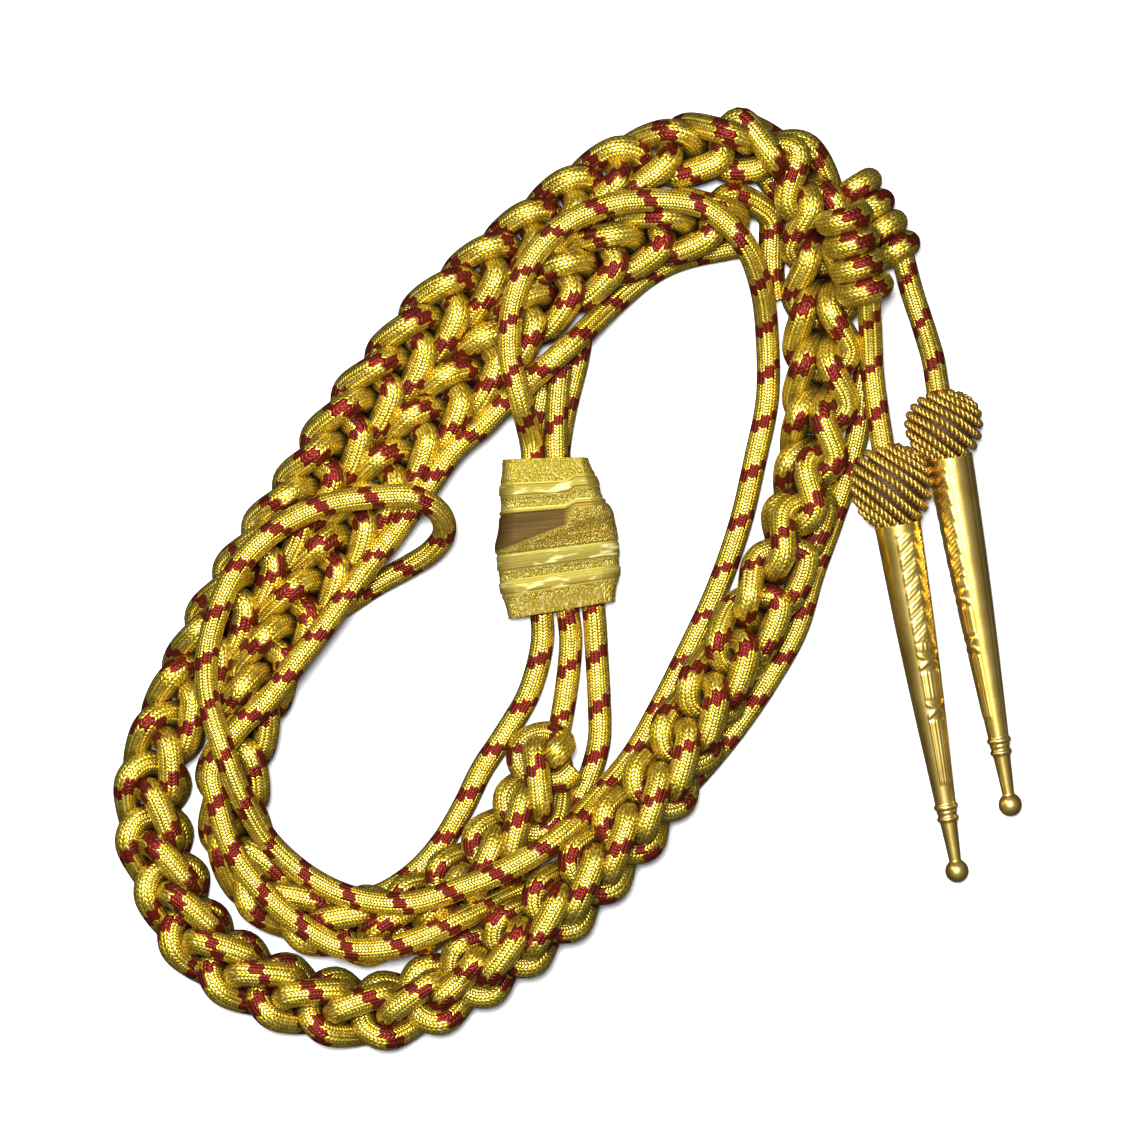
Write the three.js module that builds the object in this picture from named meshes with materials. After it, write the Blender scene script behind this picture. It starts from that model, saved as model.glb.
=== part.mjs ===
// A gold aiguillette lying flat: a ring of chain plait, a second plait inside it, plain round
// cords gathered in a woven slide, and two metal points that hang from knots at the top right.
// Millimetres, +Z up, the floor at z = 0. Seen from above, +Y points to the top of the piece.
import * as THREE from "three";

// Cords
const cord_diameter = 6;
const cord_sides = 8;
const clearance = 0.3;

// Plaits: one cord pulled through itself, loop after loop
const plait_strand = 4.2; // the cord is drawn in where the loops grip it
const plait_pitch = 13.4;
const plait_half_width = 7.3; // from the middle to the centre of the widest strand
const plait_height = 10.4; // between the lowest and the highest strand centres
const strand_sides = 5;

// Slide: the flattened sleeve that gathers the cords
const slide_length = 39;
const slide_width = 31;
const slide_height = 15.8;
const slide_wall = 1.2;
const slide_sides = 14;

// Knots, acorns and points
const knot_length = 25;
const knot_1_diameter = 14.6;
const knot_2_diameter = 12.4;
const knot_wraps = 4;
const tag_length = 93.6;
const tag_mouth = 11.8;
const tag_wall = 0.8;
const tag_ball = 6;
const round_sides = 12;

// Routes of the cords, chosen by hand: x, y and z of the centre line
const cord_loop_upper_route = [
  [-57, -82, 3.2], [-47, -82, 3.2], [-38.5, -78.6, 3.2], [-31.5, -71.6, 3.2], [-25.8, -62.2, 3.2],
  [-21.2, -52.8, 3.2], [-15.1, -43.5, 3.2], [-9, -33, 3.2], [-5.6, -20, 3.6], [-5.8, -12, 4.6],
  [-6.9, -5, 4.6],
  [-9.3, 9, 6.8], [-9.1, 20, 9.9], [-8, 27, 10.6], [-8.4, 31, 11], [-10.8, 41, 18.4], [-13.6, 52, 19.5],
  [-13, 65, 20], [-9, 76, 20], [-1, 85, 20], [12, 91, 20], [24, 92, 20],
  [36, 90, 20], [45, 82, 20], [50, 71, 13], [52, 57, 5], [52, 42, 3.2],
  [49, 27, 3.2], [45, 10, 3.2], [39, -7, 3.2], [32, -22, 3.2], [25, -36, 3.2],
  [17.5, -49, 5], [8.2, -59.8, 11.2], [-1, -69, 18.6], [-13, -76.5, 21], [-26, -82, 20],
  [-39, -85.8, 20], [-52, -84.8, 19], [-63, -80.3, 18], [-74, -71, 20], [-81, -59, 25.4],
  [-86, -46, 27.6], [-90, -33, 23.4], [-90, -21, 20], [-86.6, -9.2, 20.5], [-81, 1, 20.4],
  [-71, 10, 20], [-60, 15, 20], [-47, 17, 20.8], [-38, 17, 20.7], [-31.6, 13, 17],
  [-30.5, 8, 12], [-33.5, 3.6, 9], [-39.5, -0.4, 6], [-46, -4, 4], [-50, -6.4, 3.2], [-53, -8.4, 3.2],
];
const cord_loop_lower_route = [
  [78, 53, 3.2], [76.2, 44, 3.2], [75.4, 35, 3.2], [72.8, 24, 3.2], [68.6, 11, 3.2],
  [63.8, -2.4, 3.2], [59.5, -16.7, 3.2], [51.5, -30.9, 3.2], [42.7, -43.5, 3.2], [33, -55, 3.2],
  [22, -66, 3.2], [10, -75, 3.2], [-1, -80.5, 3.6], [-12, -84, 7.6], [-20, -87.3, 12.8],
  [-27, -90.5, 17], [-36, -94.5, 19], [-44, -97, 20], [-56, -97, 20], [-67, -91, 20], [-77, -82, 20],
  [-84, -72, 20.5], [-88, -59, 20.5], [-89, -53, 20.5], [-86, -46, 20.5], [-81, -40, 20.5],
  [-75.5, -35, 20.5], [-67.6, -24.8, 20], [-60.6, -15.6, 18], [-54.4, -7, 16.4], [-48.6, 1, 14.3],
  [-43.4, 7.6, 13.3], [-36, 17.8, 13.4], [-27.5, 29.5, 13.3], [-21, 35, 12], [-15, 41, 11.4],
  [-7, 48, 13.4], [-2, 52.5, 14.8], [2, 56, 14.2], [6, 60, 11.6], [10.6, 64.6, 8], [15.4, 69, 5],
  [21, 73.6, 3.2], [27, 77, 3.2], [33, 79, 3.2], [40, 80.4, 3.2],
];
const cord_right_route = [
  [4.6, 59.4, 3.2], [3.4, 52, 3.2], [0.9, 42, 3.2], [-0.7, 34, 3.4], [-1.3, 27, 4.6],
  [1.5, 16, 4.6], [5.8, 1, 4.6], [7.6, -12, 4.6], [8.4, -24, 3.2], [9, -35, 3.2],
  [9, -45, 3.2], [7, -53, 3.2], [4, -60, 3.2], [1, -66, 3.2],
];
const cord_middle_long_route = [
  [-2, -46, 3.2], [-0.9, -41, 3.2], [0.3, -34, 3.2], [1.3, -26, 3.4], [1.7, -19, 3.4],
  [0.9, -12, 4.6],
  [-0.8, 1, 4.6], [-4.8, 16, 4.6], [-7.4, 27, 4.5], [-7.3, 34, 3.4], [-5.7, 43, 3.2],
  [-4, 52.4, 3.2],
];
const cord_middle_short_route = [
  [-0.8, 16, 10.5], [-1.4, 21, 10.6], [-1.9, 27, 10.6], [-2, 35, 9.5], [-1.6, 43, 9], [-0.8, 50.6, 8.6],
];
const pendant_cord_1_route = [
  [77.4, 65.2, 16.6], [78, 58, 12.6], [78.6, 49, 9.4], [79.8, 39, 10.4], [80.9, 31.4, 11.8],
];
const pendant_cord_2_route = [
  [87.2, 76, 6.2], [89, 69.6, 4.5], [92, 60.5, 4.5], [94.2, 52, 8.2], [95, 46, 10.6],
];

// Routes of the plaits, in their order of working: x and y of the middle, how far the plait
// lies above the floor, and its roll in degrees about the route (180 shows its back)
const plait_outer_route = [
  [14, 99, 0, 212], [26, 104, 0, 218], [39, 107, 0, 248], [52, 106.5, 0, 282], [60, 99, 0, 310],
  [65, 84, 0, 350], [66, 67, 0, 18], [66, 49, 0, 20], [65, 34, 0, 35], [61, 16, 0, 60],
  [53, -4, 0, 105], [45, -21, 1.2, 145], [36, -36, 2.4, 155], [28, -51, 4, 168],
  [18, -65, 6.8, 172], [7, -78, 7.2, 172], [-5, -90, 8, 170], [-18, -100, 7, 172],
  [-32, -109, 3.4, 190], [-48, -114, 0, 205], [-65.5, -111, 0, 205], [-80.5, -105, 0, 205],
  [-93, -95.5, 0, 205], [-100, -82, 0, 205], [-104.5, -69, 0, 205], [-104.5, -55, 0, 210],
  [-98.7, -38.5, 0, 220], [-91.7, -23.5, 0, 235], [-85.7, -11.5, 0, 245], [-78.7, -0.5, 0, 245],
  [-70.7, 11.5, 0, 245], [-62.7, 22.5, 0, 245], [-55.5, 34.5, 0, 245], [-42.5, 50.5, 0, 240],
  [-32.5, 62.5, 0, 235], [-21.5, 72, 0, 225], [-10.5, 81, 0, 220], [2, 91, 0, 215],
];
const plait_inner_route = [
  [-4, -48, 1, 190], [-6, -58, 1, 190], [-14, -70, 1.4, 182], [-25, -81, 1.4, 175],
  [-37, -89, 1.6, 185], [-49, -92, 1.8, 195], [-62, -90, 0.5, 200], [-74, -84, 0, 210],
  [-82, -74, 0, 230], [-84.5, -61, 0, 245], [-84, -49.5, 0, 245], [-80.2, -37, 0, 245],
  [-75.1, -24.2, 0, 245], [-67.8, -11.5, 0, 240], [-60, -0.3, 0, 235], [-52.3, 10.8, 0, 225],
  [-44, 22.2, 0, 225], [-35.5, 33.5, 0, 225], [-25.5, 45, 0, 225], [-15.5, 56, 0, 230],
  [-5.5, 67, 0, 235], [6.5, 76, 0, 240], [19, 83, 0, 245], [32, 87, 0, 250], [45, 88, 0, 250],
];

// One loop of the plait, as shares: along the pitch, across the half width, up the height.
// The cord rises at the base through the loop before, crosses over its end, spreads to the
// corner and turns at the shoulder; the second leg mirrors it back to the base.
const loop_leg = [
  { name: "base", along: 0, across: 0.33, up: 0 },
  { name: "riser", along: 0.067, across: 0.33, up: 0.54 },
  { name: "crest", along: 0.41, across: 0.45, up: 1 },
  { name: "corner", along: 1.164, across: 1, up: 0.52 },
  { name: "shoulder", along: 1.485, across: 0.55, up: 0.49 },
];
const loop_keys = [
  ...loop_leg,
  ...[...loop_leg].reverse().map((key) => ({ ...key, across: -key.across })),
];
// The first loop has none before it: the cord's end is bent round as an eye
const eye_keys = [
  { name: "tail", along: 0.24, across: 1, up: 0.52 },
  { name: "front_a", along: 0.485, across: 0.55, up: 0.49 },
  { name: "front_b", along: 0.485, across: -0.55, up: 0.49 },
  { name: "side_b", along: 0.2, across: -1, up: 0.52 },
  { name: "back_b", along: -0.14, across: -0.82, up: 0.54 },
  { name: "back", along: -0.34, across: -0.1, up: 0.52 },
  { name: "back_a", along: -0.22, across: 0.5, up: 0.3 },
];
// Where a plait is cut in two nodes, the cut is half way between two bases
const cut_key = { name: "cut", along: 0.5, across: 0, up: 0 };
const tail_keys = loop_leg.slice(0, 3);
// After its last loop the cord of the inner plait runs on between two others
const plait_inner_end = [
  [52.6, 89, 5.6], [53.2, 84, 3.6], [53, 78.5, 3.5], [53.2, 73, 3.5], [53.8, 67.5, 3.5],
];

// Slide sections from the top mouth to the lower one, as shares: the two edges of the
// slide's width measured from its middle, the height, and how far each section slopes
const slide_sections = [
  { along: 0, left: 0.44, right: 0.28, high: 0.93, slope: 0.03 },
  { along: 0.16, left: 0.46, right: 0.36, high: 1, slope: 0.05 },
  { along: 0.32, left: 0.46, right: 0.42, high: 0.95, slope: 0.08 },
  { along: 0.48, left: 0.47, right: 0.5, high: 0.82, slope: 0.11 },
  { along: 0.64, left: 0.48, right: 0.53, high: 0.72, slope: 0.13 },
  { along: 0.8, left: 0.46, right: 0.54, high: 0.65, slope: 0.15 },
  { along: 1, left: 0.39, right: 0.5, high: 0.64, slope: 0.17 },
];
const slide_middle = { x: -2.3, y: 7.5 };

// Point outline from the mouth to the neck, as shares of its length and mouth radius
const tag_outline = [
  { along: 0, wide: 1 },
  { along: 0.27, wide: 0.87 },
  { along: 0.56, wide: 0.65 },
  { along: 0.78, wide: 0.45 },
  { along: 0.782, wide: 0.53 },
  { along: 0.795, wide: 0.53 },
  { along: 0.798, wide: 0.43 },
  { along: 0.815, wide: 0.41 },
  { along: 0.818, wide: 0.48 },
  { along: 0.828, wide: 0.48 },
  { along: 0.832, wide: 0.37 },
  { along: 0.94, wide: 0.27 },
];

// The two points: where each mouth and tip lie, and the acorn above each
const points = [
  { number: 1, mouth: [84.9, 10.4, 11], tip: [101, -81, 3.2], acorn_long: 20.4, acorn_wide: 21.4 },
  { number: 2, mouth: [98.2, 27.4, 9.9], tip: [115, -66, 3.2], acorn_long: 17, acorn_wide: 20.2 },
];

const gold_cord = { color: 0xc8a02a, roughness: 0.45, metalness: 0.6 };
const gold_lace = { color: 0xbfa040, roughness: 0.4, metalness: 0.6 };
const wire_gold = { color: 0xa87830, roughness: 0.5, metalness: 0.6 };
const polished_gold = { color: 0xd7a532, roughness: 0.2, metalness: 1 };

const up = new THREE.Vector3(0, 0, 1);
const aiguillette = new THREE.Group();
const laid = new THREE.Group();
aiguillette.add(laid);

function addMesh(name, geometry, finish, parent = laid) {
  const mesh = new THREE.Mesh(geometry, new THREE.MeshStandardMaterial(finish));
  mesh.name = name;
  parent.add(mesh);
  return mesh;
}

// A round cord through each of its points, with one section at each
function cordGeometry(points, diameter, sides) {
  const path = new THREE.CatmullRomCurve3(points);
  path.getUtoTmapping = (share) => share;
  const section = new THREE.Shape();
  for (let i = 0; i < sides; i += 1) {
    const turn = (i / sides) * 2 * Math.PI;
    const x = (diameter / 2) * Math.cos(turn);
    const y = (diameter / 2) * Math.sin(turn);
    if (i === 0) section.moveTo(x, y);
    else section.lineTo(x, y);
  }
  section.closePath();
  return new THREE.ExtrudeGeometry(section, {
    steps: points.length - 1,
    bevelEnabled: false,
    extrudePath: path,
  });
}

function addCord(name, route) {
  const points = route.map(([x, y, z]) => new THREE.Vector3(x, y, z));
  addMesh(name, cordGeometry(points, cord_diameter, cord_sides), gold_cord);
}

// Where a key of the plait's loop lies when the plait is rolled: left of the route, and up
function rolledKey(key, roll) {
  const across = -key.across * plait_half_width;
  const above = (key.up - 0.5) * plait_height;
  return {
    left: across * Math.cos(roll) - above * Math.sin(roll),
    up: across * Math.sin(roll) + above * Math.cos(roll),
  };
}

// How high the middle of a rolled plait lies above what it rests on
function restHeight(roll) {
  const depths = loop_keys.map((key) => -rolledKey(key, roll).up);
  return Math.max(...depths) + plait_strand / 2;
}

class PlaitRoute {
  constructor(rows, closed) {
    const points = rows.map(([x, y, lift]) => new THREE.Vector3(x, y, lift));
    this.curve = new THREE.CatmullRomCurve3(points, closed);
    this.curve.arcLengthDivisions = 1000;
    this.length = this.curve.getLength();
    this.rows = rows;
    this.closed = closed;
    const count = closed ? rows.length : rows.length - 1;
    const loops = this.length / plait_pitch - (closed ? 0 : 0.5);
    this.loops = closed ? Math.round(loops) : Math.floor(loops);
    this.pitch = closed ? this.length / this.loops : plait_pitch;
    this.spans = count;
  }

  rollAt(share) {
    const place = this.curve.getUtoTmapping(share) * this.spans;
    const before = Math.min(Math.floor(place), this.spans - 1);
    const from = this.rows[before][3];
    const to = this.rows[(before + 1) % this.rows.length][3];
    const turn = ((to - from + 540) % 360) - 180;
    return THREE.MathUtils.degToRad(from + turn * (place - before));
  }

  // The point of one key of the loop that starts at the given number of pitches
  point(loop, key) {
    let share = ((loop + key.along) * this.pitch) / this.length;
    let beyond = 0;
    if (this.closed) share -= Math.floor(share);
    else {
      beyond = share - THREE.MathUtils.clamp(share, 0, 1);
      share -= beyond;
    }
    const middle = this.curve.getPointAt(share);
    const ahead = this.curve.getTangentAt(share).setZ(0).normalize();
    const left = new THREE.Vector3().crossVectors(up, ahead);
    const roll = this.rollAt(share);
    const place = rolledKey(key, roll);
    return middle
      .addScaledVector(ahead, beyond * this.length)
      .addScaledVector(left, place.left)
      .addScaledVector(up, place.up + restHeight(roll));
  }
}

// Pulls an end of a strand back along itself, so that two nodes that meet keep their gap
function shorten(points, atStart) {
  const end = atStart ? points[0] : points[points.length - 1];
  const next = atStart ? points[1] : points[points.length - 2];
  end.addScaledVector(next.clone().sub(end).normalize(), clearance);
}

function addPlait(name, route, first, last, startKeys, endKeys, beyond = []) {
  const points = startKeys.map(([loop, key]) => route.point(loop, key));
  for (let loop = first; loop < last; loop += 1)
    for (const key of loop_keys) points.push(route.point(loop, key));
  points.push(...endKeys.map(([loop, key]) => route.point(loop, key)));
  points.push(...beyond.map(([x, y, z]) => new THREE.Vector3(x, y, z)));
  if (startKeys.length === 1) shorten(points, true);
  if (endKeys.length === 1) shorten(points, false);
  addMesh(name, cordGeometry(points, plait_strand, strand_sides), gold_cord);
}

function addPlaits() {
  const outer = new PlaitRoute(plait_outer_route, true);
  const half = Math.round(outer.loops / 2);
  for (const [name, first, last] of [
    ["plait_outer_lower", 0, half],
    ["plait_outer_upper", half, outer.loops],
  ])
    addPlait(name, outer, first, last, [[first - 1, cut_key]], [[last - 1, cut_key]]);
  const inner = new PlaitRoute(plait_inner_route, false);
  addPlait(
    "plait_inner",
    inner,
    0,
    inner.loops,
    eye_keys.map((key) => [0, key]),
    tail_keys.map((key) => [inner.loops, key]),
    plait_inner_end,
  );
}

// A closed tube turned about its axis, then pressed to the slide's flattened sections: it
// is flat above and below, and its underside lies on the floor
function addSlide() {
  const profile = [];
  const rows = slide_sections.length;
  for (let row = 0; row < rows; row += 1) profile.push(new THREE.Vector2(1, row));
  for (let row = rows - 1; row >= 0; row -= 1) profile.push(new THREE.Vector2(2, row));
  profile.push(profile[0].clone());
  const geometry = new THREE.LatheGeometry(profile, slide_sides);
  const place = geometry.getAttribute("position");
  for (let i = 0; i < place.count; i += 1) {
    const row = slide_sections[Math.round(place.getY(i))];
    const turn = Math.atan2(place.getZ(i), place.getX(i));
    const outside = Math.hypot(place.getX(i), place.getZ(i)) > 1.5;
    const wall = outside ? 0 : slide_wall;
    const edge = (Math.cos(turn) < 0 ? row.left : row.right) * slide_width - wall;
    const half = (row.high * slide_height) / 2 - wall;
    const rounded = (value) => Math.sign(value) * Math.abs(value) ** 0.55;
    const pressed = THREE.MathUtils.clamp(1.2 * Math.sin(turn), -1, 1);
    const x = rounded(Math.cos(turn)) * edge;
    const y = slide_length * (0.5 - row.along) + row.slope * x;
    place.setXYZ(i, x, y, rounded(pressed) * half + (row.high * slide_height) / 2);
  }
  const slide = addMesh("slide", geometry, gold_lace);
  slide.position.set(slide_middle.x, slide_middle.y, 0);
}

// Turns a lathe outline of named rows about its own axis, from the foot up
function turned(rows) {
  const profile = rows.map(([radius, height]) => new THREE.Vector2(radius, height));
  return new THREE.LatheGeometry(profile, round_sides);
}

// Sets a turned piece's axis from one point towards another
function aim(mesh, from, to) {
  const axis = to.clone().sub(from).normalize();
  mesh.quaternion.setFromUnitVectors(new THREE.Vector3(0, 1, 0), axis);
  mesh.position.copy(from);
}

function addKnot(name, knot_diameter, from, towards) {
  const wrap = knot_length / knot_wraps;
  const rows = [[0, 0]];
  for (let i = 0; i < knot_wraps; i += 1) {
    rows.push([(knot_diameter / 2) * 0.78, wrap * (i + 0.04)]);
    rows.push([knot_diameter / 2, wrap * (i + 0.3)]);
    rows.push([knot_diameter / 2, wrap * (i + 0.7)]);
    rows.push([(knot_diameter / 2) * 0.78, wrap * (i + 0.96)]);
  }
  rows.push([0, knot_length]);
  aim(addMesh(name, turned(rows), gold_cord), from, towards);
}

// A point, its acorn and the end of the cord above them share one sloping axis
function addPoint({ number, mouth, tip, acorn_long, acorn_wide }) {
  const from = new THREE.Vector3(...mouth);
  const to = new THREE.Vector3(...tip);
  const radius = tag_mouth / 2;
  const neck_end = tag_length - tag_ball;
  const ball = tag_ball / 2;
  const outside = tag_outline.map((row) => [row.wide * radius, row.along * tag_length]);
  const bore = [
    [0, 0.5 * tag_length],
    [0.45 * radius, 0.5 * tag_length - 4],
    [radius - tag_wall, 0],
  ];
  const rows = [...bore, ...outside];
  for (const degrees of [-50, -20, 20, 55]) {
    const turn = THREE.MathUtils.degToRad(degrees);
    rows.push([ball * Math.cos(turn), neck_end + ball + ball * Math.sin(turn)]);
  }
  rows.push([0, tag_length]);
  aim(addMesh(`tag_${number}`, turned(rows), polished_gold), from, to);

  const wide = acorn_wide / 2;
  const foot = -clearance;
  const peg = radius - tag_wall - clearance;
  const acorn = [
    [0, foot + 5],
    [peg, foot + 5],
    [peg, foot],
    [radius + 1.2, foot],
  ];
  for (const degrees of [-40, -15, 15, 40, 60]) {
    const turn = THREE.MathUtils.degToRad(degrees);
    acorn.push([
      wide * Math.cos(turn),
      foot - (acorn_long / 2) * (1 + Math.sin(turn)) * 0.98,
    ]);
  }
  acorn.push([cord_diameter / 2, foot - acorn_long], [0, foot - acorn_long]);
  aim(addMesh(`acorn_${number}`, turned(acorn.reverse()), wire_gold), from, to);
}

addPlaits();
addCord("cord_loop_upper", cord_loop_upper_route);
addCord("cord_loop_lower", cord_loop_lower_route);
addCord("cord_right", cord_right_route);
addCord("cord_middle_long", cord_middle_long_route);
addCord("cord_middle_short", cord_middle_short_route);
addSlide();
addKnot(
  "knot_1",
  knot_1_diameter,
  new THREE.Vector3(69.9, 90.3, 22.6),
  new THREE.Vector3(76.9, 67.3, 18.6),
);
addKnot(
  "knot_2",
  knot_2_diameter,
  new THREE.Vector3(73.6, 99, 6.8),
  new THREE.Vector3(85.6, 79.5, 6.8),
);
addCord("pendant_cord_1", pendant_cord_1_route);
addCord("pendant_cord_2", pendant_cord_2_route);
points.forEach(addPoint);

// The origin is the middle of what the piece covers, on the floor
const covered = new THREE.Box3().setFromObject(aiguillette, true);
const middle = covered.getCenter(new THREE.Vector3());
laid.position.set(-middle.x, -middle.y, -covered.min.z);

export default aiguillette;
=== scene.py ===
# %% [markdown]
# # A gold aiguillette
# An aiguillette is a shoulder ornament of gold cord. This one lies flat: a long ring of
# chain plait, a shorter plait inside it, plain round cords gathered in a woven slide, and
# two metal points that hang from wrapped knots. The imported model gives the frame, and
# everything here is made around it, in metres, with +Z up.

# %% Load the frame
import math

import bmesh
import bpy
import numpy as np
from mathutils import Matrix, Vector


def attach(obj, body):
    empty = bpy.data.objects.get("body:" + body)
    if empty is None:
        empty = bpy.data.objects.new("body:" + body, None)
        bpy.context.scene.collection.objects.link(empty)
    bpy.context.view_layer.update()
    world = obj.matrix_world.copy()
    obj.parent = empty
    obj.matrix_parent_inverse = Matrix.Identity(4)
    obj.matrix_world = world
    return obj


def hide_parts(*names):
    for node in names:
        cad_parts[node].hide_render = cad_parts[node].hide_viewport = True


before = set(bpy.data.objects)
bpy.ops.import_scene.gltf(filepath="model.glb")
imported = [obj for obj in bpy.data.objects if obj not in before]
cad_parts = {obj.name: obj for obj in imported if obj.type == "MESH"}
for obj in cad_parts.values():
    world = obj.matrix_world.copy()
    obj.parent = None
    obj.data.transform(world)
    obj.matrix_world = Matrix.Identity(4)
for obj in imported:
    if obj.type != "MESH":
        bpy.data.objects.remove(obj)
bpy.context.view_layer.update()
MM = 0.001

# %% [markdown]
# ## Where things lie
# The routes below are measured from the middle of the photograph. The frame puts its
# origin at the middle of what the piece covers, so one shift takes a route to the frame.

# %% The shift from the routes to the frame
ROUTE_TO_FRAME = np.array([-0.0020811, 0.003806, 0.00007])
CORD_DIAMETER = 6 * MM
STRAND_DIAMETER = 6.8 * MM
PRESSED_FLOOR = 0.02 * MM

# %% [markdown]
# ## Camera
# The photograph looks straight down. A long lens far above keeps the cords that lie on top
# of each other the same size as those that lie on the ground.

# %% Camera
PHOTO_WIDTH = 0.28764
CAMERA_LENS = 180
CAMERA_SENSOR = 36
MIDDLE_HEIGHT = 0.009


def placed(name, data):
    """A new object in the scene."""
    made = bpy.data.objects.new(name, data)
    bpy.context.scene.collection.objects.link(made)
    return made


def add_camera():
    data = bpy.data.cameras.new("camera")
    data.lens = CAMERA_LENS
    data.sensor_width = CAMERA_SENSOR
    data.sensor_fit = "HORIZONTAL"
    camera = placed("camera", data)
    distance = PHOTO_WIDTH * CAMERA_LENS / CAMERA_SENSOR
    camera.location = (ROUTE_TO_FRAME[0], ROUTE_TO_FRAME[1], MIDDLE_HEIGHT + distance)
    bpy.context.scene.camera = camera
    return camera


camera = add_camera()
print("Camera height:", round(camera.location.z, 3), "m")

# %% [markdown]
# ## Routes of the plain cords
# A cord's route is a short list of points on its centre line, chosen from the
# photograph: x, y and z in millimetres. Where two cords cross, the upper one is higher
# by a little more than one diameter. The routes are those of the solids, apart from the
# first three places of cord_loop_upper: they lie up to 5 mm nearer the bottom of the
# picture, so that the cord's end is out of sight under the stretch that crosses it.

# %% Cord routes
CORD_ROUTES = {
    "cord_loop_upper": [
        (-57, -86.8, 3.2), (-47, -84.6, 3.2), (-38.5, -79.2, 3.2), (-31.5, -71.6, 3.2),
        (-25.8, -62.2, 3.2), (-21.2, -52.8, 3.2), (-15.1, -43.5, 3.2), (-9, -33, 3.2), (-5.6, -20, 3.6),
        (-5.8, -12, 4.6), (-6.9, -5, 4.6), (-9.3, 9, 6.8), (-9.1, 20, 9.9), (-8, 27, 10.6),
        (-8.4, 31, 11), (-10.8, 41, 18.4), (-13.6, 52, 19.5), (-13, 65, 20), (-9, 76, 20), (-1, 85, 20),
        (12, 91, 20), (24, 92, 20), (36, 90, 20), (45, 82, 20), (50, 71, 13), (52, 57, 5),
        (52, 42, 3.2), (49, 27, 3.2), (45, 10, 3.2), (39, -7, 3.2), (32, -22, 3.2), (25, -36, 3.2),
        (17.5, -49, 5), (8.2, -59.8, 11.2), (-1, -69, 18.6), (-13, -76.5, 21), (-26, -82, 20),
        (-39, -85.8, 20), (-52, -84.8, 19), (-63, -80.3, 18), (-74, -71, 20), (-81, -59, 25.4),
        (-86, -46, 27.6), (-90, -33, 23.4), (-90, -21, 20), (-86.6, -9.2, 20.5), (-81, 1, 20.4),
        (-71, 10, 20), (-60, 15, 20), (-47, 17, 20.8), (-38, 17, 20.7), (-31.6, 13, 17), (-30.5, 8, 12),
        (-33.5, 3.6, 9), (-39.5, -0.4, 6), (-46, -4, 4), (-50, -6.4, 3.2), (-53, -8.4, 3.2),
    ],
    "cord_loop_lower": [
        (78, 53, 3.2), (76.2, 44, 3.2), (75.4, 35, 3.2), (72.8, 24, 3.2), (68.6, 11, 3.2),
        (63.8, -2.4, 3.2), (59.5, -16.7, 3.2), (51.5, -30.9, 3.2), (42.7, -43.5, 3.2), (33, -55, 3.2),
        (22, -66, 3.2), (10, -75, 3.2), (-1, -80.5, 3.6), (-12, -84, 7.6), (-20, -87.3, 12.8),
        (-27, -90.5, 17), (-36, -94.5, 19), (-44, -97, 20), (-56, -97, 20), (-67, -91, 20),
        (-77, -82, 20), (-84, -72, 20.5), (-88, -59, 20.5), (-89, -53, 20.5), (-86, -46, 20.5),
        (-81, -40, 20.5), (-75.5, -35, 20.5), (-67.6, -24.8, 20), (-60.6, -15.6, 18), (-54.4, -7, 16.4),
        (-48.6, 1, 14.3), (-43.4, 7.6, 13.3), (-36, 17.8, 13.4), (-27.5, 29.5, 13.3), (-21, 35, 12),
        (-15, 41, 11.4), (-7, 48, 13.4), (-2, 52.5, 14.8), (2, 56, 14.2), (6, 60, 11.6),
        (10.6, 64.6, 8), (15.4, 69, 5), (21, 73.6, 3.2), (27, 77, 3.2), (33, 79, 3.2), (40, 80.4, 3.2),
    ],
    "cord_right": [
        (4.6, 59.4, 3.2), (3.4, 52, 3.2), (0.9, 42, 3.2), (-0.7, 34, 3.4), (-1.3, 27, 4.6),
        (1.5, 16, 4.6), (5.8, 1, 4.6), (7.6, -12, 4.6), (8.4, -24, 3.2), (9, -35, 3.2), (9, -45, 3.2),
        (7, -53, 3.2), (4, -60, 3.2), (1, -66, 3.2),
    ],
    "cord_middle_long": [
        (-2, -46, 3.2), (-0.9, -41, 3.2), (0.3, -34, 3.2), (1.3, -26, 3.4), (1.7, -19, 3.4),
        (0.9, -12, 4.6), (-0.8, 1, 4.6), (-4.8, 16, 4.6), (-7.4, 27, 4.5), (-7.3, 34, 3.4),
        (-5.7, 43, 3.2), (-4, 52.4, 3.2),
    ],
    "cord_middle_short": [
        (-0.8, 16, 10.5), (-1.4, 21, 10.6), (-1.9, 27, 10.6), (-2, 35, 9.5), (-1.6, 43, 9),
        (-0.8, 50.6, 8.6),
    ],
    "pendant_cord_1": [
        (77.4, 65.2, 16.6), (78, 58, 12.6), (78.6, 49, 9.4), (79.8, 39, 10.4), (80.9, 31.4, 11.8),
    ],
    "pendant_cord_2": [
        (87.2, 76, 6.2), (89, 69.6, 4.5), (92, 60.5, 4.5), (94.2, 52, 8.2), (95, 46, 10.6),
    ],
}

# %% [markdown]
# ## From points to a smooth line
# A centripetal Catmull-Rom curve passes through every chosen point and never loops back
# between two close ones, which suits cord. It is sampled at even steps, so that the weave
# on the cord keeps one scale.


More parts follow.
